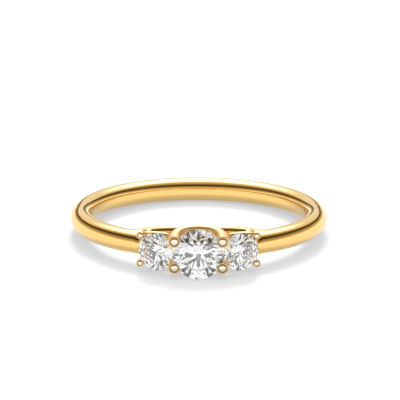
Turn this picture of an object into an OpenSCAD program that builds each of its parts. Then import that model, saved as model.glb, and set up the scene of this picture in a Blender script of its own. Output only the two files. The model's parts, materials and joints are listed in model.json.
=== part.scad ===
/* [Band] */
// Diameter of the finger hole
finger_d = 17.3; // [15:0.1:21]
// Diameter of the round wire that the band is bent from
band_wire_d = 1.9; // [1.6:0.05:2.4]
// Width of the flat land inside the band that lies on the finger
land_w = 0.6; // [0.4:0.05:1]

/* [Rails] */
// Diameter of each of the two rails that the band splits into
rail_d = 1; // [0.8:0.05:1.1]
// Distance between the two rails' centrelines behind the centre stone
rail_spread = 2.3; // [2:0.05:2.8]
// Distance between the two rails' centrelines where they start inside the band
rail_start_spread = 0.7; // [0.5:0.05:0.9]
// Angle round the finger hole from the centre stone to where the rails start
split_angle = 34; // [31:1:42]

/* [Centre stone] */
// Diameter of the centre stone
centre_d = 4.12; // [3.6:0.02:4.8]
// Height of the centre stone's girdle above the finger hole
centre_rise = 3.45; // [3.2:0.05:4.2]

/* [Side stones] */
// Diameter of each side stone
side_d = 3.12; // [2.6:0.02:3.6]
// Angle that each side stone leans outwards
side_lean = 28; // [22:1:31]
// How far a side stone's inner edge reaches in behind the centre stone's edge
side_tuck = 0.02; // [-0.1:0.02:0.08]
// Depth of a side stone's inner edge behind the centre stone's girdle
side_drop = 0.18; // [0.16:0.02:0.5]

/* [Brilliant cut] */
// Width of a stone's table as a share of its diameter
table_share = 0.57; // [0.5:0.01:0.64]
// Angle of the crown's main facets
crown_angle = 34.5; // [30:0.5:38]
// Angle of the pavilion's main facets
pavilion_angle = 40.8; // [39:0.2:43]
// Thickness of the girdle as a share of the stone's diameter
girdle_share = 0.03; // [0.02:0.005:0.05]

/* [Large prongs] */
// Diameter of the round heads of the four large prongs
prong_d = 1.03; // [0.8:0.01:1.2]
// How far a large prong reaches over the centre stone's edge
prong_grip = 0.36; // [0.25:0.01:0.45]
// Angle of a large prong round the centre stone, from the line of the three stones
prong_angle = 29.25; // [25:0.25:34]
// How far a large prong's stem rises past the centre stone's girdle before its head
prong_rise = 0.26; // [0.16:0.02:0.3]
// Diameter of the arch wire that each pair of large prongs stands on, behind the centre stone
arch_wire_d = 0.66; // [0.56:0.02:0.8]

/* [Small prongs] */
// Diameter of the round heads of the four small prongs
tip_d = 0.62; // [0.5:0.02:0.8]
// How far a small prong reaches over the side stone's edge
tip_grip = 0.04; // [0.04:0.01:0.15]
// Angle of a small prong round the side stone, from the line of the three stones
tip_angle = 38.5; // [34:0.5:46]
// How far a small prong's stem rises past the side stone's girdle before its head
tip_rise = 0.06; // [0:0.02:0.16]
// Diameter of a small prong's stem
tip_stem_d = 0.5; // [0.4:0.02:0.6]

/* [Side wires] */
// Diameter of the thin wire behind each half of a side stone
side_wire_d = 0.5; // [0.4:0.02:0.6]
// Depth of that wire's turn behind the side stone's girdle
side_wire_depth = 1.04; // [0.9:0.02:1.3]

/* [Fit] */
// Clearance between each stone and its seat in the gold
seat_gap = 0.03; // [0.02:0.005:0.06]

/* [Hidden] */

// Smoothness of the band, and number of sides of the thick and the thin wires
$fn = 96;
THICK_SIDES = 16;
THIN_SIDES = 12;
GOLD = [0.87, 0.68, 0.36];
DIAMOND = [0.88, 0.93, 0.96];

finger_r = finger_d / 2;
band_wire_r = band_wire_d / 2;
rail_r = rail_d / 2;
centre_r = centre_d / 2;
side_r = side_d / 2;
prong_r = prong_d / 2;
arch_wire_r = arch_wire_d / 2;
tip_r = tip_d / 2;
tip_stem_r = tip_stem_d / 2;
side_wire_r = side_wire_d / 2;

// The land is a chord of the wire's section, so it sets how far out the wire's centre lies
band_r = finger_r + sqrt(pow(band_wire_r, 2) - pow(land_w / 2, 2));
// The band's round nose stands this much nearer the head than the place where the rails start
NOSE_ANGLE = 4;
band_end_angle = split_angle - NOSE_ANGLE;

// Centres of the girdles: the head points to -Y and the line of the stones is X
centre_y = -(finger_r + centre_rise);
side_x = centre_r - side_tuck + side_r * cos(side_lean);
side_y = centre_y + side_drop + side_r * sin(side_lean);

// The ring lies on its side: the centre stone's edge and the back of the band touch the surface
rest_reach = band_r - centre_y - girdle_share * centre_r;
rest_tilt = atan2(centre_r, rest_reach) - asin(band_wire_r / norm([rest_reach, centre_r]));
rest_height = band_r * sin(rest_tilt) + band_wire_r;
front_reach = (table_height(centre_r) - centre_y) * cos(rest_tilt) + table_share * centre_r * sin(rest_tilt);
back_reach = band_r * cos(rest_tilt) + band_wire_r;

// Puts the standing frame of the ring into the pose in which it lies on a surface
module at_rest() {
    translate([0, (front_reach - back_reach) / 2, rest_height])
        rotate([-rest_tilt, 0, 0])
            children();
}

// Runs its children in a stone's own frame: +Z out of the table, +X away from the centre stone
module at_centre_seat() {
    translate([0, centre_y, 0]) rotate([90, 0, 0]) children();
}

module at_right_seat() {
    translate([side_x, side_y, 0]) rotate([0, 0, side_lean]) rotate([90, 0, 0]) children();
}

module both_sides() {
    children();
    mirror([1, 0, 0]) children();
}

module above_and_below() {
    children();
    mirror([0, 0, 1]) children();
}

// Brilliant cut: main facets round the stone, and half facets that meet the girdle between them
MAINS = 8;
HALVES = 2 * MAINS;
STEP = 360 / HALVES;
// How far the star facets reach from the table's edge, and the lower half facets from the girdle
STAR_SHARE = 0.5;
LOWER_SHARE = 0.77;
// Heights above the girdle's middle and radii, for a stone of radius r
function girdle_half(r) = girdle_share * r;
function table_height(r) = girdle_half(r) + (1 - table_share) * r * tan(crown_angle);
function star_radius(r) = r * (table_share * cos(STEP) * (1 - STAR_SHARE) + STAR_SHARE);
function star_height(r) = girdle_half(r) + (r - star_radius(r) * cos(STEP)) * tan(crown_angle);
function lower_radius(r) = r * (1 - LOWER_SHARE);
function lower_height(r) = -girdle_half(r) - (r - lower_radius(r) * cos(STEP)) * tan(pavilion_angle);
function culet_height(r) = -girdle_half(r) - r * tan(pavilion_angle);

// Half section of the round room that a stone needs: it holds every corner of the facets
function room_section(r) = [
    [0, culet_height(r)],
    [lower_radius(r), lower_height(r)],
    [r, -girdle_half(r)],
    [r, girdle_half(r)],
    [star_radius(r), star_height(r)],
    [table_share * r, table_height(r)],
    [0, table_height(r)]
];

// Height of a half facet's plane at the girdle's round, half way between two corners of its edge
function girdle_dip(r, inner_r, inner_h) =
    let (edge = r * cos(STEP / 2))
    let (inner = inner_r * cos(STEP / 2))
    (r - edge) * inner_h / (edge - inner);

function ring_of(count, radius, height, turn) = [
    for (i = [0 : count - 1])
        let (a = turn + 360 * i / count)
        [radius * cos(a), radius * sin(a), height]
];

// Corners of the cut in rings: table, stars, upper and lower girdle corners and dips, lower apexes, culet
function brilliant_points(r) =
    let (g = girdle_half(r))
    let (top_dip = girdle_dip(r, star_radius(r), star_height(r) - g))
    let (low_dip = girdle_dip(r, lower_radius(r), -lower_height(r) - g))
    concat(
        ring_of(MAINS, table_share * r, table_height(r), 0),
        ring_of(MAINS, star_radius(r), star_height(r), STEP),
        ring_of(HALVES, r, g, 0),
        ring_of(HALVES, r, g - top_dip, STEP / 2),
        ring_of(HALVES, r, -g, 0),
        ring_of(HALVES, r, -g + low_dip, STEP / 2),
        ring_of(MAINS, lower_radius(r), lower_height(r), STEP),
        [[0, 0, culet_height(r)]]
    );

// First index of each ring in the list of corners
TABLE = 0;
STAR = TABLE + MAINS;
TOP = STAR + MAINS;
TOP_DIP = TOP + HALVES;
LOW = TOP_DIP + HALVES;
LOW_DIP = LOW + HALVES;
LOWER = LOW_DIP + HALVES;
CULET = LOWER + MAINS;
// The star, main facet or half facet next to number i, back round to number 0
function next_main(i) = (i + 1) % MAINS;
function last_main(i) = (i + MAINS - 1) % MAINS;
function next_half(i) = (i + 1) % HALVES;

// Faces: the table, stars, crown mains, upper halves, girdle, lower halves and pavilion mains
BRILLIANT_FACES = concat(
    [[for (i = [MAINS - 1 : -1 : 0]) TABLE + i]],
    [for (i = [0 : MAINS - 1]) [TABLE + i, TABLE + next_main(i), STAR + i]],
    [for (i = [0 : MAINS - 1]) [TABLE + i, STAR + i, TOP + 2 * i, STAR + last_main(i)]],
    [for (i = [0 : MAINS - 1]) [STAR + i, TOP + 2 * i + 1, TOP_DIP + 2 * i, TOP + 2 * i]],
    [
        for (i = [0 : MAINS - 1])
            [STAR + i, TOP + next_half(2 * i + 1), TOP_DIP + 2 * i + 1, TOP + 2 * i + 1]
    ],
    [for (i = [0 : HALVES - 1]) [TOP + i, TOP_DIP + i, LOW_DIP + i, LOW + i]],
    [
        for (i = [0 : HALVES - 1])
            [TOP_DIP + i, TOP + next_half(i), LOW + next_half(i), LOW_DIP + i]
    ],
    [for (i = [0 : MAINS - 1]) [LOWER + i, LOW + 2 * i, LOW_DIP + 2 * i, LOW + 2 * i + 1]],
    [
        for (i = [0 : MAINS - 1])
            [LOWER + i, LOW + 2 * i + 1, LOW_DIP + 2 * i + 1, LOW + next_half(2 * i + 1)]
    ],
    [for (i = [0 : MAINS - 1]) [CULET, LOWER + last_main(i), LOW + 2 * i, LOWER + i]]
);

module brilliant(r) {
    polyhedron(points = brilliant_points(r), faces = BRILLIANT_FACES);
}

module stone_room(r) {
    rotate_extrude() polygon(room_section(r + seat_gap));
}

// A wire swept along its stations: each station is [point, radius of the wire there]
function unit(v) = v / norm(v);
function station_points(stations, sides) = [
    for (i = [0 : len(stations) - 1])
        let (before = stations[max(i - 1, 0)][0])
        let (after = stations[min(i + 1, len(stations) - 1)][0])
        let (along = unit(after - before))
        let (across = unit(cross(along, [0, 0, 1])))
        let (up = cross(across, along))
        for (k = [0 : sides - 1])
            stations[i][0] + stations[i][1] * (cos(360 * k / sides) * across + sin(360 * k / sides) * up)
];

module wire(stations, sides) {
    last = (len(stations) - 1) * sides;
    polyhedron(
        points = station_points(stations, sides),
        faces = concat(
            [[for (k = [sides - 1 : -1 : 0]) k]],
            [
                for (i = [0 : len(stations) - 2])
                    for (k = [0 : sides - 1])
                        let (here = i * sides + k)
                        let (beside = i * sides + (k + 1) % sides)
                        each [[here, beside, here + sides], [beside, beside + sides, here + sides]]
            ],
            [[for (k = [0 : sides - 1]) last + k]]
        )
    );
}

function bezier(a, b, c, d, t) =
    pow(1 - t, 3) * a + 3 * pow(1 - t, 2) * t * b + 3 * (1 - t) * t * t * c + pow(t, 3) * d;

// Smooth change from one value to another as t runs from 0 to 1
function ease(from, to, t) = from + (to - from) * (1 - cos(180 * max(0, min(1, t)))) / 2;

// Round end of a wire: stations from the wire's end out to the top of the dome
DOME_ANGLES = [22, 44, 62, 78];
function dome(centre, along, r) = [
    for (a = DOME_ANGLES) [centre + r * sin(a) * along, r * cos(a)]
];

// Head of a prong: a rounded shoulder, a crease, and the low bead that the beading tool leaves.
// Each row is the height above the stem's end and the radius, as shares of the head's radius.
HEAD_PROFILE = [
    [0, 1], [0.12, 0.985], [0.23, 0.925], [0.3, 0.84], [0.325, 0.74],
    [0.36, 0.69], [0.43, 0.72], [0.55, 0.66], [0.64, 0.52], [0.69, 0.33], [0.705, 0.12]
];
function head(stem_end, along, r) = [
    for (row = HEAD_PROFILE) [stem_end + row[0] * r * along, row[1] * r]
];
function reversed(list) = [for (i = [len(list) - 1 : -1 : 0]) list[i]];

// Rails: they leave the band's wire and rise to run above and below the middle of the head
RAIL_STEPS = 22;
// The rails spread late and then quickly, like a cosine of a stretched angle
RAIL_SPREAD_POWER = 1.5;
rail_path_r = finger_r + rail_r;
// The rails start this far in from the middle of the band's wire
RAIL_START_DEPTH = 0.2;
rail_start_r = band_r - RAIL_START_DEPTH;
function rail_station(a) =
    let (share = abs(a) / split_angle)
    let (path_r = rail_path_r + (rail_start_r - rail_path_r) * share * share)
    let (height = (rail_start_spread + (rail_spread - rail_start_spread)
        * cos(90 * pow(share, RAIL_SPREAD_POWER))) / 2)
    [[path_r * sin(a), -path_r * cos(a), height], rail_r];

module band() {
    difference() {
        rotate_extrude(angle = 360 - 2 * band_end_angle, start = -90 + band_end_angle)
            translate([band_r, 0]) circle(band_wire_r);
        cylinder(r = finger_r, h = 2 * band_wire_d, center = true);
    }
    both_sides() band_nose();
}

// The band's round end between the rails, a hair thinner than the band that it stands in
NOSE_STEP = 0.03;
module band_nose() {
    nose_r = band_wire_r - NOSE_STEP;
    along = [-cos(band_end_angle), -sin(band_end_angle), 0];
    end = band_r * [sin(band_end_angle), -cos(band_end_angle), 0];
    wire(concat([[end - nose_r * along, nose_r], [end, nose_r]], dome(end, along, nose_r)), THICK_SIDES);
}

module rail() {
    wire([
        for (i = [0 : RAIL_STEPS])
            rail_station(split_angle * (2 * i / RAIL_STEPS - 1))
    ], THICK_SIDES);
}

// Centre arch: from one large prong back to the rail, across behind the stone and out to the other
ARCH_STEPS = 14;
prong_reach = centre_r + prong_r - prong_grip;
prong_x = prong_reach * cos(prong_angle);
prong_z = prong_reach * sin(prong_angle);
// The arch's base lies this far in front of the rail's middle, and stands proud of the rail's side
ARCH_STAND = 0.4;
ARCH_PROUD = 0.16;
// The two middle points that pull each half arch: how far they lie in front of the base, how much
// of the rise the lower one has, and how far out the upper one is as a share of the prong's place
ARCH_LEG_PULL = 0.65;
ARCH_LEG_LIFT = 0.3;
ARCH_BOW_PULL = 0.15;
ARCH_BOW_SHARE = 0.72;
arch_base_y = -(rail_path_r + ARCH_STAND);
arch_base_z = rail_spread / 2 + rail_r - arch_wire_r + ARCH_PROUD;

function arch_half() = [
    for (i = [0 : ARCH_STEPS])
        let (t = i / ARCH_STEPS)
        [
            bezier(
                [prong_x, centre_y, prong_z],
                [
                    prong_x,
                    arch_base_y - ARCH_LEG_PULL,
                    prong_z + ARCH_LEG_LIFT * (arch_base_z - prong_z)
                ],
                [ARCH_BOW_SHARE * prong_x, arch_base_y - ARCH_BOW_PULL, arch_base_z],
                [0, arch_base_y, arch_base_z],
                t
            ),
            ease(prong_r, arch_wire_r, t)
        ]
];
function left_of(stations) = [for (s = stations) [[-s[0][0], s[0][1], s[0][2]], s[1]]];

module arch() {
    right_half = concat(
        reversed(head([prong_x, centre_y - prong_rise, prong_z], [0, -1, 0], prong_r)),
        arch_half()
    );
    left_half = reversed(left_of(right_half));
    wire(concat(right_half, [for (i = [1 : len(left_half) - 1]) left_half[i]]), THICK_SIDES);
}

// Places in a side stone's frame, given as [outwards, towards the table, up], in the ring's frame
function from_side_seat(p) = [
    side_x + p[0] * cos(side_lean) + p[1] * sin(side_lean),
    side_y + p[0] * sin(side_lean) - p[1] * cos(side_lean),
    p[2]
];
tip_reach = side_r + tip_r - tip_grip;
tip_out = tip_reach * cos(tip_angle);
tip_up = tip_reach * sin(tip_angle);

SIDE_WIRE_STEPS = 14;
// A cubic curve reaches this share of the way to its two middle points
CURVE_REACH = 0.75;
side_wire_pull = side_wire_depth / CURVE_REACH;
module side_wire() {
    wire([
        for (i = [0 : SIDE_WIRE_STEPS])
            [
                bezier(
                    from_side_seat([tip_out, 0, tip_up]),
                    from_side_seat([tip_out, -side_wire_pull, tip_up]),
                    from_side_seat([-side_r, -side_wire_pull, tip_up]),
                    from_side_seat([-side_r, 0, prong_z]),
                    i / SIDE_WIRE_STEPS
                ),
                side_wire_r
            ]
    ], THIN_SIDES);
}

// Small prong: a round head on a stem that runs back to the rail
TIP_STEPS = 5;
// Angle round the finger hole at which its stem leaves the rail
TIP_FOOT_ANGLE = 25;
// Share of the stem's length after which it widens to the head
TIP_NECK_SHARE = 0.6;
module small_prong() {
    tip = from_side_seat([tip_out, 0, tip_up]);
    foot = rail_station(TIP_FOOT_ANGLE)[0];
    along = unit(tip - foot);
    wire(concat(
        [
            for (i = [0 : TIP_STEPS])
                let (t = i / TIP_STEPS)
                let (neck = (t - TIP_NECK_SHARE) / (1 - TIP_NECK_SHARE))
                [foot + (tip - foot) * t, ease(tip_stem_r, tip_r, neck)]
        ],
        head(tip + tip_rise * along, along, tip_r)
    ), THIN_SIDES);
}

module ring_mount() {
    color(GOLD) at_rest() difference() {
        union() {
            band();
            above_and_below() {
                rail();
                arch();
                both_sides() {
                    side_wire();
                    small_prong();
                }
            }
        }
        at_centre_seat() stone_room(centre_r);
        both_sides() at_right_seat() stone_room(side_r);
    }
}

module centre_stone() {
    color(DIAMOND) at_rest() at_centre_seat() brilliant(centre_r);
}

module right_stone() {
    color(DIAMOND) at_rest() at_right_seat() brilliant(side_r);
}

module left_stone() {
    color(DIAMOND) at_rest() mirror([1, 0, 0]) at_right_seat() brilliant(side_r);
}

ring_mount();
centre_stone();
left_stone();
right_stone();
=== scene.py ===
import math

import bmesh
import bpy
import numpy as np
from mathutils import Matrix, Vector
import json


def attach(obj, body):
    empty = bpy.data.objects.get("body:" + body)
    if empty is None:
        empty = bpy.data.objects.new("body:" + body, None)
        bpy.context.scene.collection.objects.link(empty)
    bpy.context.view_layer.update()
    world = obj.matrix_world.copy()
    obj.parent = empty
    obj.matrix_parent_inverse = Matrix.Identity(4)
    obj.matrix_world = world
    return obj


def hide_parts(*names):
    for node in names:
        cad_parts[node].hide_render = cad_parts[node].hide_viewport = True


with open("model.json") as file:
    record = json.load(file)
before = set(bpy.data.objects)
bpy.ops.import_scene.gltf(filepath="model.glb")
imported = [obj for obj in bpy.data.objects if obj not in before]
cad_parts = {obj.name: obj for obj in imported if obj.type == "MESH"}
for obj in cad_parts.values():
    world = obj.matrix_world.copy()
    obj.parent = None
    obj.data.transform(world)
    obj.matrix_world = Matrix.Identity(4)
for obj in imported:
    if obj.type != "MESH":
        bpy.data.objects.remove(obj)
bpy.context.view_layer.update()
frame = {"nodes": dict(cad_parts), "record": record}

# Camera
# A long lens looks down on the ring as it lies on its side, with the stones towards the viewer.
# Its aim is set off from the finger hole's middle so that the ring stands in the frame as in the photo.
MM = 0.001
CAMERA_ELEVATION = math.radians(17.1)
CAMERA_ROLL = math.radians(0.2)
CAMERA_DISTANCE = 650 * MM
FRAME_WIDTH = 32.68 * MM
AIM_RIGHT = 0.11 * MM
AIM_UP = 1.40 * MM
SENSOR_WIDTH = 36.0
CLIP_NEAR = 0.05
CLIP_FAR = 10

bore = next(m for m in frame["record"]["mounts"] if m["name"] == "finger_bore")
ring_centre = np.array(bore["pos_m"])
ring_axis = np.array(bore["axis"]) / np.linalg.norm(bore["axis"])

view_back = Vector((0, -math.cos(CAMERA_ELEVATION), math.sin(CAMERA_ELEVATION)))
view_right = Vector((1, 0, 0))
view_up = view_back.cross(view_right)
aim = Vector(ring_centre) + AIM_RIGHT * view_right + AIM_UP * view_up

camera_data = bpy.data.cameras.new("camera")
camera_data.sensor_width = SENSOR_WIDTH
camera_data.lens = SENSOR_WIDTH * CAMERA_DISTANCE / FRAME_WIDTH
camera_data.clip_start = CLIP_NEAR
camera_data.clip_end = CLIP_FAR
camera = bpy.data.objects.new("camera", camera_data)
bpy.context.scene.collection.objects.link(camera)
turned = Matrix((view_right, view_up, view_back)).transposed()
turned = Matrix.Rotation(CAMERA_ROLL, 3, view_back) @ turned
camera.matrix_world = Matrix.Translation(aim + CAMERA_DISTANCE * view_back) @ turned.to_4x4()
bpy.context.scene.camera = camera


# Band
# A round wire of 18 carat yellow gold, bent to a ring round the finger. It is filed to a narrow flat
# land inside, where it lies on the skin, and its two rounded ends stop behind the head.
# All lengths here are in mm, with the finger hole's axis as Z and the stones towards -Y.
FINGER_R = bore["dims"]["r_mm"]
BAND_WIRE_R = 0.95
LAND_W = 0.6
LAND_ROUND = 0.12
BAND_R = FINGER_R + math.sqrt(BAND_WIRE_R**2 - (LAND_W / 2) ** 2)
BAND_END_ANGLE = math.radians(30)
# The least divisor, so that nothing is divided by nought on an axis or in a centre
TINY = 1e-6


def band_path(start, end, count):
    """An arc round the finger hole, counted from the head: sine and cosine times the band's radius."""
    a = np.linspace(start, end, count)
    path = BAND_R * np.stack([np.sin(a), -np.cos(a), 0 * a], 1)
    return path, np.full(count, BAND_WIRE_R)


def carried_circle(path, radii, sides=20, dome_steps=5):
    """A circle carried along a path on a grid of stations and sides. Half a ball of rings closes each
    end, or with no dome_steps the ends stay open."""
    along = np.gradient(path, axis=0)
    along /= np.linalg.norm(along, axis=1)[:, None]
    a = np.linspace(0, math.pi / 2, dome_steps + 1)[1:-1]
    start = path[0] - radii[0] * np.sin(a[::-1, None]) * along[0]
    end = path[-1] + radii[-1] * np.sin(a[:, None]) * along[-1]
    centres = np.concatenate([start, path, end])
    radii = np.concatenate([radii[0] * np.cos(a[::-1]), radii, radii[-1] * np.cos(a)])
    n = len(a)
    along = np.concatenate([np.repeat(along[:1], n, 0), along, np.repeat(along[-1:], n, 0)])
    across = np.cross(along, (0, 0, 1))
    across /= np.linalg.norm(across, axis=1)[:, None]
    up = np.cross(across, along)
    turn = np.linspace(0, 2 * math.pi, sides, endpoint=False)[:, None, None]
    rings = centres + radii[:, None] * (np.cos(turn) * across + np.sin(turn) * up)
    points = rings.transpose(1, 0, 2).reshape(-1, 3)
    i, k = np.meshgrid(np.arange(len(centres) - 1), np.arange(sides), indexing="ij")
    here, beside = i * sides + k, i * sides + (k + 1) % sides
    quads = np.stack([here, beside, beside + sides, here + sides], -1).reshape(-1, 4)
    caps = [list(range(sides))[::-1], list(range(len(points) - sides, len(points)))]
    return points, quads.tolist() + (caps if dome_steps else [])


def soldered(first, second, fillet):
    """Joins two fields: the lesser distance, with a smooth hollow of the fillet's width between."""
    (a, away_a), (b, away_b) = first, second
    share = np.clip(0.5 + 0.5 * (b - a) / fillet, 0, 1)
    d = b + (a - b) * share - fillet * share * (1 - share)
    return d, away_b + (away_a - away_b) * share[:, None]


def cut(body, tool, edge):
    """Takes the tool's room out of the body, with an edge as wide as given rounded off."""
    d, away = soldered((-body[0], -body[1]), tool, edge)
    return -d, -away


def band_field(points):
    """How far each point is from the band's skin, and the way straight off it: the distance from
    the wire's middle arc less the wire's radius, with the round bar of the finger hole cut out."""
    a = np.arctan2(points[:, 0], -points[:, 1])
    a = np.where(np.abs(a) < BAND_END_ANGLE, np.copysign(BAND_END_ANGLE, a), a)
    gap = points - BAND_R * np.stack([np.sin(a), -np.cos(a), 0 * a], 1)
    far = np.linalg.norm(gap, axis=1)
    r = np.hypot(points[:, 0], points[:, 1])
    finger = r - FINGER_R, points * (1, 1, 0) / np.maximum(r, TINY)[:, None]
    return cut((far - BAND_WIRE_R, gap / far[:, None]), finger, LAND_ROUND)


# Rails
# Two thinner gold wires, one above the other, soldered into the band's ends. They spread apart and
# cross behind the three stones as the gallery that carries every prong.
RAIL_R = 0.5
RAIL_SPREAD = 2.3
RAIL_START_SPREAD = 0.7
RAIL_SPREAD_POWER = 1.5
RAIL_START_DEPTH = 0.2
SPLIT_ANGLE = math.radians(34)


def rail_station(a):
    """Points over the finger hole at the angles a. Their radius grows with the angle's square, and
    their height falls like the cosine of a stretched angle."""
    share = np.abs(a) / SPLIT_ANGLE
    middle_r = FINGER_R + RAIL_R
    r = middle_r + (BAND_R - RAIL_START_DEPTH - middle_r) * share**2
    spread = RAIL_START_SPREAD + (RAIL_SPREAD - RAIL_START_SPREAD) * np.cos(
        math.pi / 2 * share**RAIL_SPREAD_POWER
    )
    return np.stack([r * np.sin(a), -r * np.cos(a), spread / 2], -1)


def wire_field(points, path, radii):
    """How far each point is from a round wire, and the way straight off it: the nearest place on
    each straight stretch of the wire's middle line counts, less the wire's radius there."""
    best = np.full(len(points), np.inf)
    away = np.zeros_like(points)
    for a, b, ra, rb in zip(path[:-1], path[1:], radii[:-1], radii[1:]):
        stretch = b - a
        length = np.linalg.norm(stretch)
        t = np.clip((points - a) @ stretch / length**2, 0, 1)
        gap = points - a - t[:, None] * stretch
        far = np.linalg.norm(gap, axis=1)
        d = far - ra - (rb - ra) * t
        near = d < best
        best[near] = d[near]
        taper = (rb - ra) / length**2 * ((t[near] > 0) & (t[near] < 1))
        away[near] = gap[near] / far[near, None] - taper[:, None] * stretch
    return best, away


# Each wire of the mount: its path, its radii, and the prong heads on it as rows of foot, way and radius
RAIL_STATIONS = 61
upper_rail = rail_station(np.linspace(-SPLIT_ANGLE, SPLIT_ANGLE, RAIL_STATIONS))
wires = [(upper_rail, np.full(RAIL_STATIONS, RAIL_R), [])]


# Arches and large prongs
# One thick wire behind the centre stone on each rail. Its two ends come forward as the large round
# prongs that hold the centre stone and a side stone together. A beading tool has pressed each end to
# a low round bead inside a rounded shoulder.
CENTRE_R = 2.06
CENTRE_RISE = 3.45
CENTRE_Y = -(FINGER_R + CENTRE_RISE)
PRONG_R = 0.515
PRONG_GRIP = 0.36
PRONG_ANGLE = math.radians(29.25)
PRONG_RISE = 0.26
ARCH_WIRE_R = 0.33
ARCH_STAND = 0.4
ARCH_PROUD = 0.16
# Where the two middle points of each half arch lie, which pull its curve
ARCH_LEG_PULL = 0.65
ARCH_LEG_LIFT = 0.3
ARCH_BOW_PULL = 0.15
ARCH_BOW_SHARE = 0.72
ARCH_STATIONS = 61
# The wires' own round ends stay below the heads on them
ARCH_START = 0.03
PRONG_REACH = CENTRE_R + PRONG_R - PRONG_GRIP
PRONG_X = PRONG_REACH * math.cos(PRONG_ANGLE)
PRONG_Z = PRONG_REACH * math.sin(PRONG_ANGLE)
# The head's shoulder and bead as shares of its radius, then the bead's tilt, and its crease in mm
SHOULDER = 0.16
HEAD_DEPTH = 0.8
BEAD_R = 0.62
BEAD_HALF_HEIGHT = 0.13
BEAD_UP = 0.23
BEAD_TILT = math.radians(-4)
BEAD_CREASE = 0.02


def bezier(a, b, c, d, t):
    """Points of a cubic curve: each end point counts (1-t) and t cubed, the two between pull it."""
    a, b, c, d = (np.array(p, float) for p in (a, b, c, d))
    t = t[:, None]
    return (1 - t) ** 3 * a + 3 * (1 - t) ** 2 * t * b + 3 * (1 - t) * t**2 * c + t**3 * d


def ease(start, end, t):
    """Half a cosine wave from start to end as t runs from 0 to 1, flat before and after."""
    return start + (end - start) * (1 - np.cos(math.pi * np.clip(t, 0, 1))) / 2


def about_axis(points, foot, way):
    """Each point's height along an axis and distance out from it, and a function that turns a
    direction given by its parts out from the axis and along it into x, y and z."""
    h = (points - foot) @ way
    sideways = points - foot - h[:, None] * way
    out = np.linalg.norm(sideways, axis=1)
    sideways = sideways / np.maximum(out, TINY)[:, None]

    def off(along_out, along_way):
        size = np.maximum(np.hypot(along_out, along_way), TINY)
        return (along_out / size)[:, None] * sideways + (along_way / size)[:, None] * way

    return h, out, off


def shoulder_field(points, foot, way, r):
    """How far each point is from a prong's end: a round bar whose top edge is rounded. Past the
    corner's own middle line the distance from that line counts, less the rounding's radius."""
    h, out, off = about_axis(points, foot, way)
    middle, half = (SHOULDER - HEAD_DEPTH) * r / 2, (HEAD_DEPTH - SHOULDER) * r / 2
    x = out - (1 - SHOULDER) * r
    y = np.abs(h - middle) - half
    inside = np.maximum(x, y) < 0
    d = np.where(inside, np.maximum(x, y), np.hypot(np.maximum(x, 0), np.maximum(y, 0))) - SHOULDER * r
    x_part = np.where(inside, x > y, np.maximum(x, 0))
    y_part = np.where(inside, y >= x, np.maximum(y, 0)) * np.sign(h - middle)
    return d, off(x_part, y_part)


def bead_field(points, foot, way, r):
    """How far each point is from a prong's bead, whose half section is an ellipse tipped down a
    little: the place's size against the ellipse, less one, over the slope of that size."""
    bead_way = way + np.array([0, 0, math.tan(BEAD_TILT)])
    bead_way /= np.linalg.norm(bead_way)
    h, out, off = about_axis(points, foot + BEAD_UP * r * way, bead_way)
    wide, tall = BEAD_R * r, BEAD_HALF_HEIGHT * r
    size = np.maximum(np.hypot(out / wide, h / tall), TINY)
    slope = np.maximum(np.hypot(out / wide**2, h / tall**2), TINY)
    return size * (size - 1) / slope, off(out / wide**2, h / tall**2)


base_y = -(FINGER_R + RAIL_R + ARCH_STAND)
base_z = RAIL_SPREAD / 2 + RAIL_R - ARCH_WIRE_R + ARCH_PROUD
t = np.linspace(ARCH_START, 1, ARCH_STATIONS)
half_arch = bezier(
    (PRONG_X, CENTRE_Y, PRONG_Z),
    (PRONG_X, base_y - ARCH_LEG_PULL, PRONG_Z + ARCH_LEG_LIFT * (base_z - PRONG_Z)),
    (ARCH_BOW_SHARE * PRONG_X, base_y - ARCH_BOW_PULL, base_z),
    (0, base_y, base_z),
    t,
)
half_radii = ease(PRONG_R, ARCH_WIRE_R, t)
arch = np.concatenate([half_arch, half_arch[-2::-1] * (-1, 1, 1)])
arch_radii = np.concatenate([half_radii, half_radii[-2::-1]])
arch_heads = [
    (np.array([x, CENTRE_Y - PRONG_RISE, PRONG_Z]), np.array([0, -1.0, 0]), PRONG_R)
    for x in (PRONG_X, -PRONG_X)
]
wires.append((arch, arch_radii, arch_heads))


# Side wires
# A thin gold wire behind each half of a side stone: a shallow U from the small prong round to the
# large one, soldered at both ends and where it lies against the rail.
SIDE_R = 1.56
SIDE_LEAN = math.radians(28)
SIDE_TUCK = 0.02
SIDE_DROP = 0.18
SIDE_X = CENTRE_R - SIDE_TUCK + SIDE_R * math.cos(SIDE_LEAN)
SIDE_Y = CENTRE_Y + SIDE_DROP + SIDE_R * math.sin(SIDE_LEAN)
SIDE_WIRE_R = 0.25
SIDE_WIRE_DEPTH = 1.04
SIDE_WIRE_STATIONS = 31
# The wire's own round end stays below the small head, as on the arches
SIDE_WIRE_START = 0.055
CURVE_REACH = 0.75
TIP_R = 0.31
TIP_GRIP = 0.04
TIP_ANGLE = math.radians(38.5)
TIP_OUT = (SIDE_R + TIP_R - TIP_GRIP) * math.cos(TIP_ANGLE)
TIP_UP = (SIDE_R + TIP_R - TIP_GRIP) * math.sin(TIP_ANGLE)


def from_side_seat(out, front, up):
    """Turns lengths out from a side stone's axis, along it and up into the ring's own frame."""
    c, s = math.cos(SIDE_LEAN), math.sin(SIDE_LEAN)
    return np.array([SIDE_X + out * c + front * s, SIDE_Y + out * s - front * c, up])


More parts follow.
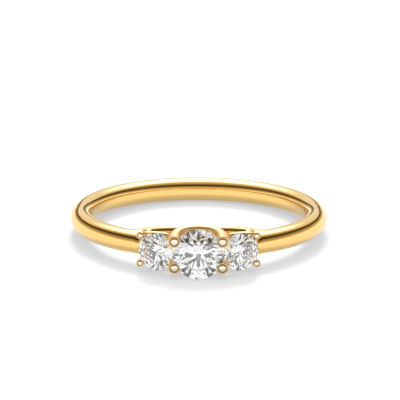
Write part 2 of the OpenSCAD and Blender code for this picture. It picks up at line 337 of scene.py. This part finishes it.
pull = SIDE_WIRE_DEPTH / CURVE_REACH
side_wire = bezier(
    from_side_seat(TIP_OUT, 0, TIP_UP),
    from_side_seat(TIP_OUT, -pull, TIP_UP),
    from_side_seat(-SIDE_R, -pull, TIP_UP),
    from_side_seat(-SIDE_R, 0, PRONG_Z),
    np.linspace(SIDE_WIRE_START, 1, SIDE_WIRE_STATIONS),
)
wires.append((side_wire, np.full(SIDE_WIRE_STATIONS, SIDE_WIRE_R), []))


# Small prongs
# Four thin gold stems, soldered on the rails, hold the outer corners of the side stones. They are
# a little thicker at the end, where the same beading tool has made a smaller round head.
TIP_STEM_R = 0.25
TIP_RISE = 0.06
TIP_FOOT_ANGLE = math.radians(25)
TIP_NECK_SHARE = 0.6
TIP_STATIONS = 13
STEM_SHARE = 0.87
# The beading tool is held nearly level and square to the front, so the heads turn less than the stems
TIP_TURN = np.array([0.4, 1, 0])

foot = rail_station(TIP_FOOT_ANGLE)
tip = from_side_seat(TIP_OUT, 0, TIP_UP)
way = (tip - foot) / np.linalg.norm(tip - foot)
t = np.linspace(0, STEM_SHARE, TIP_STATIONS)
stem_radii = ease(TIP_STEM_R, TIP_R, (t - TIP_NECK_SHARE) / (1 - TIP_NECK_SHARE))
tip_way = way * TIP_TURN / np.linalg.norm(way * TIP_TURN)
stem = foot + (tip - foot) * t[:, None]
wires.append((stem, stem_radii, [(tip + TIP_RISE * way, tip_way, TIP_R)]))


def mirrored(wire, axis):
    """The same wire on the other side of the ring."""
    flip = np.ones(3)
    flip[axis] = -1
    path, radii, heads = wire
    return path * flip, radii, [(foot * flip, way * flip, r) for foot, way, r in heads]


RIGHT_SIDE = slice(2, 4)
wires += [mirrored(wire, 0) for wire in wires[RIGHT_SIDE]]
wires += [mirrored(wire, 2) for wire in wires]


# Seats
# A setting burr of the stone's own shape cuts each seat into the gold, so that the stone drops in
# with a hair of room before the prongs are pressed over its edge.
SEAT_GAP = 0.03
SEAT_ROUND = 0.04
TABLE_SHARE = 0.57
CROWN_SLOPE = math.tan(math.radians(34.5))
PAVILION_SLOPE = math.tan(math.radians(40.8))
GIRDLE_SHARE = 0.03
STAR_SHARE = 0.5
LOWER_SHARE = 0.77
HALF_STEP = math.cos(math.radians(22.5))
BURR_STEPS = 64


def burr_profile(r):
    """Half section of the room for a stone of radius r, as rows of radius and height: the culet,
    lower half facets, girdle, stars and table."""
    girdle = GIRDLE_SHARE * r
    star = r * (TABLE_SHARE * HALF_STEP * (1 - STAR_SHARE) + STAR_SHARE)
    lower = r * (1 - LOWER_SHARE)
    table = girdle + (1 - TABLE_SHARE) * r * CROWN_SLOPE
    return np.array(
        [
            [0, -girdle - r * PAVILION_SLOPE],
            [lower, -girdle - (r - lower * HALF_STEP) * PAVILION_SLOPE],
            [r, -girdle],
            [r, girdle],
            [star, girdle + (r - star * HALF_STEP) * CROWN_SLOPE],
            [TABLE_SHARE * r, table],
            [0, table],
        ]
    )


def turned_profile(profile, centre, axis):
    """A half section of [radius, height] rows turned about an axis; its ends lie on the axis."""
    side = np.cross(axis, (0, 0, 1))
    side /= np.linalg.norm(side)
    up = np.cross(axis, side)
    a = np.linspace(0, 2 * math.pi, BURR_STEPS, endpoint=False)[:, None, None]
    r, h = profile[1:-1, :1], profile[1:-1, 1:]
    rings = centre + r * (np.cos(a) * side + np.sin(a) * up) + h * axis
    count = len(profile) - 2
    points = np.concatenate(
        [rings.reshape(-1, 3), [centre + profile[0, 1] * axis, centre + profile[-1, 1] * axis]]
    )
    k, i = np.meshgrid(np.arange(BURR_STEPS), np.arange(count - 1), indexing="ij")
    here, beside = k * count + i, (k + 1) % BURR_STEPS * count + i
    quads = np.stack([here, beside, beside + 1, here + 1], -1).reshape(-1, 4)
    k = np.arange(BURR_STEPS)
    first, last = BURR_STEPS * count, BURR_STEPS * count + 1
    next_k = (k + 1) % BURR_STEPS
    low = np.stack([0 * k + first, next_k * count, k * count], 1)
    high = np.stack([0 * k + last, k * count + count - 1, next_k * count + count - 1], 1)
    return points, quads.tolist() + low.tolist() + high.tolist()


def burr_field(points, profile, centre, axis):
    """How far each point is from the burr: the greatest distance from the cones and planes of it."""
    h, out, off = about_axis(points, centre, axis)
    best = np.full(len(points), -np.inf)
    along_out, along_way = np.zeros((2, len(points)))
    for (r0, h0), (r1, h1) in zip(profile[:-1], profile[1:]):
        square = np.array([h1 - h0, r0 - r1]) / math.hypot(h1 - h0, r1 - r0)
        d = square[0] * (out - r0) + square[1] * (h - h0)
        more = d > best
        best[more], along_out[more], along_way[more] = d[more], square[0], square[1]
    return best, off(along_out, along_way)


side_axis = np.array([math.sin(SIDE_LEAN), -math.cos(SIDE_LEAN), 0])
seats = [
    (burr_profile(CENTRE_R + SEAT_GAP), np.array([0, CENTRE_Y, 0]), np.array([0, -1.0, 0])),
    (burr_profile(SIDE_R + SEAT_GAP), np.array([SIDE_X, SIDE_Y, 0]), side_axis),
    (burr_profile(SIDE_R + SEAT_GAP), np.array([-SIDE_X, SIDE_Y, 0]), side_axis * (-1, 1, 1)),
]


# Soldered and polished mount
# Hard gold solder runs into every joint and leaves a small hollow there, so that band, rails, arches
# and prongs are one piece. It is then brushed, buffed and polished with rouge to a mirror.
SOLDER = 0.22
VOXEL = 0.056
# The back of the band is a plain grid that starts this far round from the head
JOIN_ANGLE = math.radians(46)
JOIN_GAP = math.radians(0.4)
SPARE_ANGLE = math.radians(6)
STUB_STATIONS = 24
ON_PLANE = VOXEL / 10
BAND_SIDES = 48
BAND_STATIONS = 160
# The skin lies a hair inside the sizes, which are those of the part's own flat-sided wires
SKIN = -0.006
NEWTON_STEPS = 4
# Edges between places whose skins face this far apart are halved, so that creases come out crisp
SHARP_TURN = math.radians(21)
HALVINGS = 2


def mount_field(points):
    """How far each point is from the finished gold: the band, the soldered wires with their heads,
    and the seats cut out of them."""
    distance, away = band_field(points)
    margin = NEWTON_STEPS * VOXEL + SOLDER
    for path, radii, heads in wires:
        low, high = path.min(0) - radii.max() - margin, path.max(0) + radii.max() + margin
        near = np.all((points > low) & (points < high), 1)
        wire = wire_field(points[near], path, radii)
        for head in heads:
            wire = soldered(wire, shoulder_field(points[near], *head), BEAD_CREASE)
            wire = soldered(wire, bead_field(points[near], *head), BEAD_CREASE)
        distance[near], away[near] = soldered((distance[near], away[near]), wire, SOLDER)
    for seat in seats:
        distance, away = cut((distance, away), burr_field(points, *seat), SEAT_ROUND)
    return distance, away


def new_object(name, points, faces):
    """A mesh object at the origin, linked to the scene."""
    mesh = bpy.data.meshes.new(name)
    mesh.from_pydata(points.tolist(), [], faces)
    mesh.validate()
    made = bpy.data.objects.new(name, mesh)
    bpy.context.scene.collection.objects.link(made)
    return made


def head_blank(r):
    """Rough half section of a prong's head of radius r: a bar with a chamfer and a blunt cone on it."""
    chamfer = [[1, -HEAD_DEPTH], [1, 0], [1 - SHOULDER, SHOULDER]]
    cone = [[BEAD_R, BEAD_UP], [0, BEAD_UP + BEAD_HALF_HEIGHT]]
    return r * np.array([[0, -HEAD_DEPTH]] + chamfer + cone)


def fused_wires():
    """Points and faces of one skin: small even squares round the head's wires, less the seats, and a
    grid of stations and sides round the back of the band, with a strip of faces between them."""
    shapes = [carried_circle(path, radii) for path, radii, _ in wires]
    heads = [head for *_, heads in wires for head in heads]
    shapes += [turned_profile(head_blank(r), foot, way) for foot, way, r in heads]
    stub = band_path(BAND_END_ANGLE, JOIN_ANGLE + SPARE_ANGLE, STUB_STATIONS)
    shapes += [carried_circle(stub[0] * flip, stub[1], BAND_SIDES) for flip in ((1, 1, 1), (-1, 1, 1))]
    points, faces, count = [], [], 0
    for p, f in shapes:
        points.append(p)
        faces += [[i + count for i in face] for face in f]
        count += len(p)
    rough = new_object("rough_mount", np.concatenate(points), faces)
    burrs = [new_object("burr", *turned_profile(*seat)) for seat in seats]
    fuse = rough.modifiers.new("fuse", "REMESH")
    fuse.mode, fuse.voxel_size = "VOXEL", VOXEL
    for burr in burrs:
        seat = rough.modifiers.new("seat", "BOOLEAN")
        seat.operation, seat.solver, seat.object = "DIFFERENCE", "MANIFOLD", burr
    even = rough.modifiers.new("even", "REMESH")
    even.mode, even.voxel_size = "VOXEL", VOXEL

    skin = bmesh.new()
    skin.from_mesh(rough.evaluated_get(bpy.context.evaluated_depsgraph_get()).to_mesh())
    for side in (1, -1):
        onwards = (side * math.cos(JOIN_ANGLE), math.sin(JOIN_ANGLE), 0)
        everything = skin.verts[:] + skin.edges[:] + skin.faces[:]
        bmesh.ops.bisect_plane(
            skin, geom=everything, dist=ON_PLANE, plane_co=(0, 0, 0), plane_no=onwards, clear_outer=True
        )
    start = JOIN_ANGLE + JOIN_GAP
    back = band_path(start, 2 * math.pi - start, BAND_STATIONS)
    back = new_object("back", *carried_circle(*back, sides=BAND_SIDES, dome_steps=0))
    skin.from_mesh(back.data)
    rims = [edge for edge in skin.edges if edge.is_boundary]
    for side in (1, -1):
        bmesh.ops.bridge_loops(skin, edges=[e for e in rims if side * e.verts[0].co.x > 0])
    bmesh.ops.recalc_face_normals(skin, faces=skin.faces[:])
    joined = bpy.data.meshes.new("joined")
    skin.to_mesh(joined)
    skin.free()
    points = np.empty(3 * len(joined.vertices))
    joined.vertices.foreach_get("co", points)
    faces = [list(face.vertices) for face in joined.polygons]
    for spare in [rough, back] + burrs:
        bpy.data.objects.remove(spare)
    return points.reshape(-1, 3), faces


def settled(points):
    """Moves each point onto the skin: again and again by its own distance, straight towards it."""
    for _ in range(NEWTON_STEPS):
        distance, away = mount_field(points)
        away /= np.linalg.norm(away, axis=1)[:, None]
        points = points - np.clip(distance - SKIN, -VOXEL, VOXEL)[:, None] * away
    away = mount_field(points)[1]
    return points, away / np.linalg.norm(away, axis=1)[:, None]


def halved(points, faces, away):
    """Points and faces with each edge halved whose two ends face further apart than SHARP_TURN."""
    spare = new_object("spare", points, faces)
    ends = np.empty(2 * len(spare.data.edges), int)
    spare.data.edges.foreach_get("vertices", ends)
    a, b = ends.reshape(-1, 2).T
    sharp = np.flatnonzero((away[a] * away[b]).sum(1) < math.cos(SHARP_TURN))
    skin = bmesh.new()
    skin.from_mesh(spare.data)
    skin.edges.ensure_lookup_table()
    bmesh.ops.subdivide_edges(skin, edges=[skin.edges[i] for i in sharp], cuts=1, use_grid_fill=True)
    bmesh.ops.triangulate(skin, faces=[face for face in skin.faces if len(face.verts) > 4])
    skin.to_mesh(spare.data)
    skin.free()
    points = np.empty(3 * len(spare.data.vertices))
    spare.data.vertices.foreach_get("co", points)
    faces = [list(face.vertices) for face in spare.data.polygons]
    bpy.data.objects.remove(spare)
    return points.reshape(-1, 3), faces


points, faces = fused_wires()
points, away = settled(points)
for _ in range(HALVINGS):
    points, faces = halved(points, faces, away)
    points, away = settled(points)

# The mount lies as the finger hole's axis says: its own Z is that axis, and X stays level
ring_axes = np.stack([[1, 0, 0], np.cross(ring_axis, [1, 0, 0]), ring_axis])
mount = new_object("gold_mount", ring_centre + MM * points @ ring_axes, faces)
mount.data.shade_smooth()
mount.data.normals_split_custom_set_from_vertices((away @ ring_axes).tolist())

# How much each point lies on a bead, with its painted highlight, in the crease round it, with its painted
# shade, or on a satin shoulder or arch, with its painted light. The widths are shares of the head's
# radius, and the arch's is in mm. An arch is a wire with two heads.
CREASE_WIDTH = 0.13
BEAD_HIGHLIGHT_FADE = 0.1
SATIN_FADE = 0.25
ARCH_FADE = 0.08
bead_painted_highlight, crease, satin_and_painted_light = np.zeros((3, len(points)))
for path, radii, heads in wires:
    if len(heads) == 2:
        near = np.hypot(points[:, 0], points[:, 1] - CENTRE_Y) < 2 * CENTRE_R
        on_arch = wire_field(points[near], path, radii)[0] / ARCH_FADE
        satin_and_painted_light[near] = np.maximum(satin_and_painted_light[near], np.exp(-(on_arch**2)))
    for head in heads:
        shoulder = np.abs(shoulder_field(points, *head)[0]) / head[2]
        bead = np.abs(bead_field(points, *head)[0]) / head[2]
        crease = np.maximum(crease, np.exp(-(shoulder**2 + bead**2) / CREASE_WIDTH**2))
        beside = np.clip((bead - shoulder) / CREASE_WIDTH, -1, 1)
        bead_painted_highlight = np.maximum(bead_painted_highlight, -beside * np.exp(-((bead / BEAD_HIGHLIGHT_FADE) ** 2)))
        satin_and_painted_light = np.maximum(satin_and_painted_light, beside * np.exp(-((shoulder / SATIN_FADE) ** 2)))
for name, values in (("bead", bead_painted_highlight), ("crease", crease), ("satin_and_painted_light", satin_and_painted_light)):
    mount.data.attributes.new(name, "FLOAT", "POINT").data.foreach_set("value", values)


def linear(hex_colour):
    """Turns an sRGB hex colour into the linear red, green, blue and alpha that shaders use."""
    srgb = [int(hex_colour[i : i + 2], 16) / 255 for i in (1, 3, 5)]
    return [c / 12.92 if c <= 0.04045 else ((c + 0.055) / 1.055) ** 2.4 for c in srgb] + [1]


def add(tree, kind, settings=None, links=None, stops=()):
    """Adds a node: settings are its own values or its sockets' values, links feed its sockets, and
    stops are the places and colours along its ramp."""
    node = tree.nodes.new(kind)
    for name, value in (settings or {}).items():
        if isinstance(name, str) and hasattr(node, name):
            setattr(node, name, value)
        else:
            node.inputs[name].default_value = value
    for name, source in (links or {}).items():
        tree.links.new(source, node.inputs[name])
    for i, (position, colour) in enumerate(stops):
        ramp = node.color_ramp.elements
        if i == 0:
            ramp.remove(ramp[1])
        stop = ramp[0] if i == 0 else ramp.new(position)
        stop.position, stop.color = position, colour
    return node


# 18 carat yellow gold after the polishing wheel is a mirror. The wheel leaves a very slight ripple a
# millimetre or two long, patches of a softer shine, and satin shoulders round the beads where it can't
# reach. Painted light makes those shoulders and the arches paler, painted shade darkens the creases
# between them, and a painted highlight turns the beads nearly white.
GOLD = linear("#F3CD82")
BEAD_PAINTED_HIGHLIGHT = linear("#FFF7E2")
SATIN_PAINTED_LIGHT = linear("#FFE0A0")
CREASE_PAINTED_SHADE = linear("#2A1605")
RIPPLE_LENGTH = 1.6
RIPPLE_HEIGHT = 0.004
HAZE_LENGTH = 0.7
# The haze's middle range of values, and the roughness at its two ends
HAZE = (0.35, 0.7)
SHINE = (0.03, 0.09)
SATIN = 0.38

polished_gold = bpy.data.materials.new("polished_yellow_gold")
polished_gold.use_nodes = True
tree = polished_gold.node_tree
shader = tree.nodes["Principled BSDF"]
shader.inputs["Metallic"].default_value = 1
place = add(tree, "ShaderNodeTexCoord").outputs["Object"]
ripple = add(
    tree, "ShaderNodeTexNoise", {"Scale": 1 / (RIPPLE_LENGTH * MM), "Detail": 1.0}, {"Vector": place}
)
bump = add(
    tree,
    "ShaderNodeBump",
    {"Strength": 1.0, "Distance": RIPPLE_HEIGHT * MM},
    {"Height": ripple.outputs["Fac"]},
)
haze = add(tree, "ShaderNodeTexNoise", {"Scale": 1 / (HAZE_LENGTH * MM), "Detail": 3.0}, {"Vector": place})
shine = add(
    tree,
    "ShaderNodeMapRange",
    {"From Min": HAZE[0], "From Max": HAZE[1], "To Min": SHINE[0], "To Max": SHINE[1]},
    {"Value": haze.outputs["Fac"]},
)
# The satin mask gives the shoulders and arches a rougher shine, and also mixes in a paler gold as painted
# light
satin_and_painted_light_mask = add(tree, "ShaderNodeAttribute", {"attribute_name": "satin_and_painted_light"})
roughness = add(
    tree, "ShaderNodeMix", {3: SATIN}, {0: satin_and_painted_light_mask.outputs["Fac"], 2: shine.outputs["Result"]}
)
# The bead mask mixes in a painted highlight: a near-white colour that stands in for the bright light the
# flat beads reflect
bead = add(tree, "ShaderNodeAttribute", {"attribute_name": "bead"})
with_satin_painted_light = add(
    tree, "ShaderNodeMix", {"data_type": "RGBA", 6: GOLD, 7: SATIN_PAINTED_LIGHT}, {0: satin_and_painted_light_mask.outputs["Fac"]}
)
with_bead_painted_highlight = add(
    tree,
    "ShaderNodeMix",
    {"data_type": "RGBA", 7: BEAD_PAINTED_HIGHLIGHT},
    {0: bead.outputs["Fac"], 6: with_satin_painted_light.outputs[2]},
)
# Painted shade: a near-black brown laid into the crease round each bead, where shade falls
in_crease = add(tree, "ShaderNodeAttribute", {"attribute_name": "crease"})
colour = add(
    tree,
    "ShaderNodeMix",
    {"data_type": "RGBA", 7: CREASE_PAINTED_SHADE},
    {0: in_crease.outputs["Fac"], 6: with_bead_painted_highlight.outputs[2]},
)
tree.links.new(colour.outputs[2], shader.inputs["Base Color"])
tree.links.new(roughness.outputs[0], shader.inputs["Roughness"])
tree.links.new(bump.outputs["Normal"], shader.inputs["Normal"])

mount.data.materials.append(polished_gold)
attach(mount, "root")
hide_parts("ring_mount")


# Stones
# Round brilliant-cut diamonds, colourless: ground with diamond dust on a wheel and polished facet by
# facet. Nothing but the prongs clamps them in their seats.
DIAMOND_IOR = 2.417
# Each facet has its own faint painted cast, from cool to warm, which stands in for the coloured light of
# the stone's fire
FACET_FIRE_PAINTED_CASTS = [(0.0, "#F1F5FF"), (0.3, "#FFFFFF"), (0.85, "#FFFFFF"), (1.0, "#FFF6EC")]
# A facet's direction is rounded to steps this long, so that the whole facet draws one cast
NORMAL_SNAP = 0.02

cut_diamond = bpy.data.materials.new("brilliant_cut_diamond")
cut_diamond.use_nodes = True
tree = cut_diamond.node_tree
shader = tree.nodes["Principled BSDF"]
shader.inputs["Roughness"].default_value = 0
shader.inputs["IOR"].default_value = DIAMOND_IOR
shader.inputs["Transmission Weight"].default_value = 1
facing = add(tree, "ShaderNodeNewGeometry").outputs["True Normal"]
facet = add(tree, "ShaderNodeVectorMath", {"operation": "SNAP", 1: (NORMAL_SNAP,) * 3}, {0: facing})
lot = add(tree, "ShaderNodeTexWhiteNoise", {"noise_dimensions": "3D"}, {"Vector": facet.outputs[0]})
stops = [(position, linear(tint)) for position, tint in FACET_FIRE_PAINTED_CASTS]
painted_fire_cast = add(tree, "ShaderNodeValToRGB", links={"Fac": lot.outputs["Value"]}, stops=stops)
tree.links.new(painted_fire_cast.outputs["Color"], shader.inputs["Base Color"])

for stone in ("centre_stone", "left_stone", "right_stone"):
    for material_slot in frame["nodes"][stone].material_slots:
        material_slot.material = cut_diamond


# Floor
# A plain light table under the ring: a matt white acrylic top, lit a little from below, which thins
# the shadows. It is wide enough that no view shows its edge.
FLOOR_HALF = 3.0
FROM_BELOW = 0.5
MATT = 0.9
corners = np.array([[-1, -1, 0], [1, -1, 0], [1, 1, 0], [-1, 1, 0]]) * FLOOR_HALF
floor = new_object("floor", corners, [[0, 1, 2, 3]])
# Lit acrylic looks the same pure white all over, with no pattern or shine of its own
lit_acrylic = bpy.data.materials.new("lit_white_acrylic")
lit_acrylic.use_nodes = True
shader = lit_acrylic.node_tree.nodes["Principled BSDF"]
shader.inputs["Base Color"].default_value = linear("#F4F4F4")
shader.inputs["Roughness"].default_value = MATT
shader.inputs["Emission Color"].default_value = linear("#FFFFFF")
shader.inputs["Emission Strength"].default_value = FROM_BELOW
floor.data.materials.append(lit_acrylic)


# Studio light
# A white tent, brightest overhead and behind the ring, with one large lamp high behind it.
# Mirror-bright gold and cut stones are lit by what they reflect, so each of them, and the table,
# has its own share of the tent.
# The roof light is an oval on a level ceiling one unit up
ROOF_HALF_WIDTH = 1.45
ROOF_HALF_LENGTH = 3.25
ROOF_BACK = 2.8
# Rows of distance from the oval's middle, where its rim is 1, and what light comes from there
ROOF_RAMP = [
    (0.00, 0.98, "#FFFFFF"),
    (0.82, 0.95, "#FFFFFF"),
    (0.92, 0.70, "#FFF0D8"),
    (1.00, 0.38, "#FFEBC8"),
    (1.07, 0.13, "#FFE0A0"),
    (1.14, 0.065, "#FFDC78"),
    (1.28, 0.065, "#FFDC78"),
    (1.42, 0.25, "#FFE8BE"),
    (1.70, 0.41, "#FFE8C4"),
    (2.10, 0.58, "#FFE8C8"),
    (2.70, 0.68, "#FFEAD0"),
    (4.20, 1.10, "#FFF0DC"),
    (6.00, 1.40, "#FFFAF0"),
]
ROOF_RAMP_END = ROOF_RAMP[-1][0]
# Lower directions count as this high, because level ones never meet the ceiling
HORIZON = 0.02

world = bpy.data.worlds.new("studio_tent")
bpy.context.scene.world = world
world.use_nodes = True
tree = world.node_tree
way = add(tree, "ShaderNodeTexCoord").outputs["Generated"]
parts = add(tree, "ShaderNodeSeparateXYZ", links={0: way})
up = add(tree, "ShaderNodeMath", {"operation": "MAXIMUM", 1: HORIZON}, {0: parts.outputs["Z"]})
ceiling = add(tree, "ShaderNodeVectorMath", {"operation": "DIVIDE"}, {0: way, 1: up.outputs[0]})
across, along = 1 / (ROOF_HALF_WIDTH * ROOF_RAMP_END), 1 / (ROOF_HALF_LENGTH * ROOF_RAMP_END)
oval = add(
    tree,
    "ShaderNodeVectorMath",
    {"operation": "MULTIPLY_ADD", 1: (across, along, 0), 2: (0, -ROOF_BACK * along, 0)},
    {0: ceiling.outputs[0]},
)
out = add(tree, "ShaderNodeVectorMath", {"operation": "LENGTH"}, {0: oval.outputs[0]})
stops = [
    (distance / ROOF_RAMP_END, [light * c for c in linear(tint)[:3]] + [1])
    for distance, light, tint in ROOF_RAMP
]
roof = add(tree, "ShaderNodeValToRGB", links={"Fac": out.outputs["Value"]}, stops=stops)

# The lamp behind, cooler than the tent, as the gold shows it; LAMP is its core's red light
LAMP_ELEVATION = math.radians(57)
LAMP_RADIUS = math.radians(34)
LAMP_CORE = math.radians(8)
LAMP = 2.5
LAMP_TINT = linear("#D9D0FF")
lamp_way = (0, math.cos(LAMP_ELEVATION), math.sin(LAMP_ELEVATION))
to_lamp = add(tree, "ShaderNodeVectorMath", {"operation": "DOT_PRODUCT", 1: lamp_way}, {0: way})
lamp = add(
    tree,
    "ShaderNodeMapRange",
    {
        "interpolation_type": "SMOOTHSTEP",
        "From Min": math.cos(LAMP_RADIUS),
        "From Max": math.cos(LAMP_CORE),
        "To Max": LAMP / LAMP_TINT[0],
    },
    {0: to_lamp.outputs["Value"]},
)
lamp_light = add(
    tree, "ShaderNodeVectorMath", {"operation": "SCALE", 0: LAMP_TINT[:3]}, {"Scale": lamp.outputs[0]}
)

gold_sees = add(
    tree,
    "ShaderNodeMix",
    {"data_type": "RGBA", "blend_type": "ADD", 0: 1.0},
    {6: roof.outputs["Color"], 7: lamp_light.outputs[0]},
)

# Black and grey cards between white walls, which draw the facets of the stones
CARD_SCALE = 2.3
CARD_LOT = 459.0
CARDS = [(0.0, 0.01), (0.475, 0.01), (0.485, 0.35), (0.5, 0.75), (0.51, 1.0), (1.0, 1.1)]
cards = add(
    tree,
    "ShaderNodeTexNoise",
    {"noise_dimensions": "4D", "Scale": CARD_SCALE, "Detail": 1.0, "W": CARD_LOT},
    {"Vector": way},
)
stops = [(position, (light, light, light, 1)) for position, light in CARDS]
gem_sees = add(tree, "ShaderNodeValToRGB", links={"Fac": cards.outputs["Fac"]}, stops=stops)

# Whatever has passed through a stone sees the cards, the table takes an even light from the whole
# tent, and behind the ring all is white
TENT_ON_TABLE = 0.43
ray = add(tree, "ShaderNodeLightPath")
shiny = add(
    tree,
    "ShaderNodeMix",
    {"data_type": "RGBA"},
    {0: ray.outputs["Transmission Depth"], 6: gold_sees.outputs[2], 7: gem_sees.outputs["Color"]},
)
matt = add(
    tree,
    "ShaderNodeMix",
    {"data_type": "RGBA", 7: (TENT_ON_TABLE, TENT_ON_TABLE, TENT_ON_TABLE, 1)},
    {0: ray.outputs["Is Diffuse Ray"], 6: shiny.outputs[2]},
)
shown = add(
    tree,
    "ShaderNodeMix",
    {"data_type": "RGBA", 7: (1, 1, 1, 1)},
    {0: ray.outputs["Is Camera Ray"], 6: matt.outputs[2]},
)
tree.links.new(shown.outputs[2], tree.nodes["Background"].inputs["Color"])
# Only rays that bounce find the tent, so that each surface gets its own share of it
world.cycles.sampling_method = "NONE"

# The lamp's share of the light on the table, which draws the ring's soft shadow forward
SHADOW_LAMP_ELEVATION = math.radians(47)
SHADOW_LAMP_WIDTH = math.radians(24)
SHADOW_LAMP = 1.3
shadow_lamp_data = bpy.data.lights.new("lamp_on_table", "SUN")
shadow_lamp_data.energy = SHADOW_LAMP
shadow_lamp_data.angle = SHADOW_LAMP_WIDTH
shadow_lamp = bpy.data.objects.new("lamp_on_table", shadow_lamp_data)
bpy.context.scene.collection.objects.link(shadow_lamp)
shadow_lamp.rotation_euler = (SHADOW_LAMP_ELEVATION - math.pi / 2, 0, 0)
shadow_lamp.visible_glossy = False
shadow_lamp.visible_transmission = False

# Light passes many facets before it leaves a stone, and colours stay as they are
STONE_BOUNCES = 24
GOLD_BOUNCES = 12
scene = bpy.context.scene
scene.view_settings.view_transform = "Standard"
scene.cycles.max_bounces = STONE_BOUNCES
scene.cycles.transmission_bounces = STONE_BOUNCES
scene.cycles.glossy_bounces = GOLD_BOUNCES
scene.cycles.caustics_reflective = False
